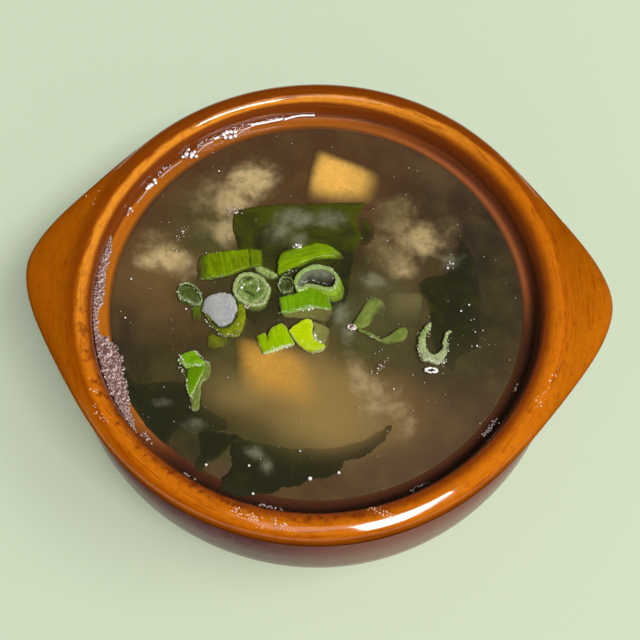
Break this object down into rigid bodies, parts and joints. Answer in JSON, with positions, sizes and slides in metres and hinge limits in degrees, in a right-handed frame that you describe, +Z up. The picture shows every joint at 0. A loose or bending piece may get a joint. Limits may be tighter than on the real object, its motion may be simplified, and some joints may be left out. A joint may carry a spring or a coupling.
{
  "type": "miso soup",
  "caption": "Miso soup with floating spring onion in a glazed earthenware bowl with lug handles and a lid ledge.",
  "frame": {"origin": "middle of the bowl's foot, on the surface it stands on", "axes": "+Z up, X through the two lug handles, -Y towards the eater"},
  "size_m": [0.1519, 0.1324, 0.054],
  "materials": {
    "glaze": "honey brown glossy glaze, darker outside",
    "broth": "murky wet broth with miso clouds",
    "leaf_green": "wet green leaf",
    "leaf_yellow": "wet yellow-green leaf",
    "leaf_pale": "wet pale green, slightly translucent",
    "leaf_white": "wet white pith"
  },
  "bodies": {
    "root": {"bowl": "glaze", "soup": "broth", "spring_onion_01_arch": "leaf_green", "spring_onion_02_sliver": "leaf_pale", "spring_onion_03_ring": "leaf_pale", "spring_onion_04_ring": "leaf_green", "spring_onion_05_core": "leaf_white", "spring_onion_05_sheath": "leaf_yellow", "spring_onion_06_crescent": "leaf_green", "spring_onion_07_ring": "leaf_green", "spring_onion_08_ring": "leaf_green", "spring_onion_09_arch": "leaf_green", "spring_onion_10_arch": "leaf_yellow", "spring_onion_11_tube": "leaf_yellow", "spring_onion_12_curl": "leaf_green", "spring_onion_13_strip": "leaf_pale", "spring_onion_14_open_ring": "leaf_pale"}
  },
  "joints": []
}
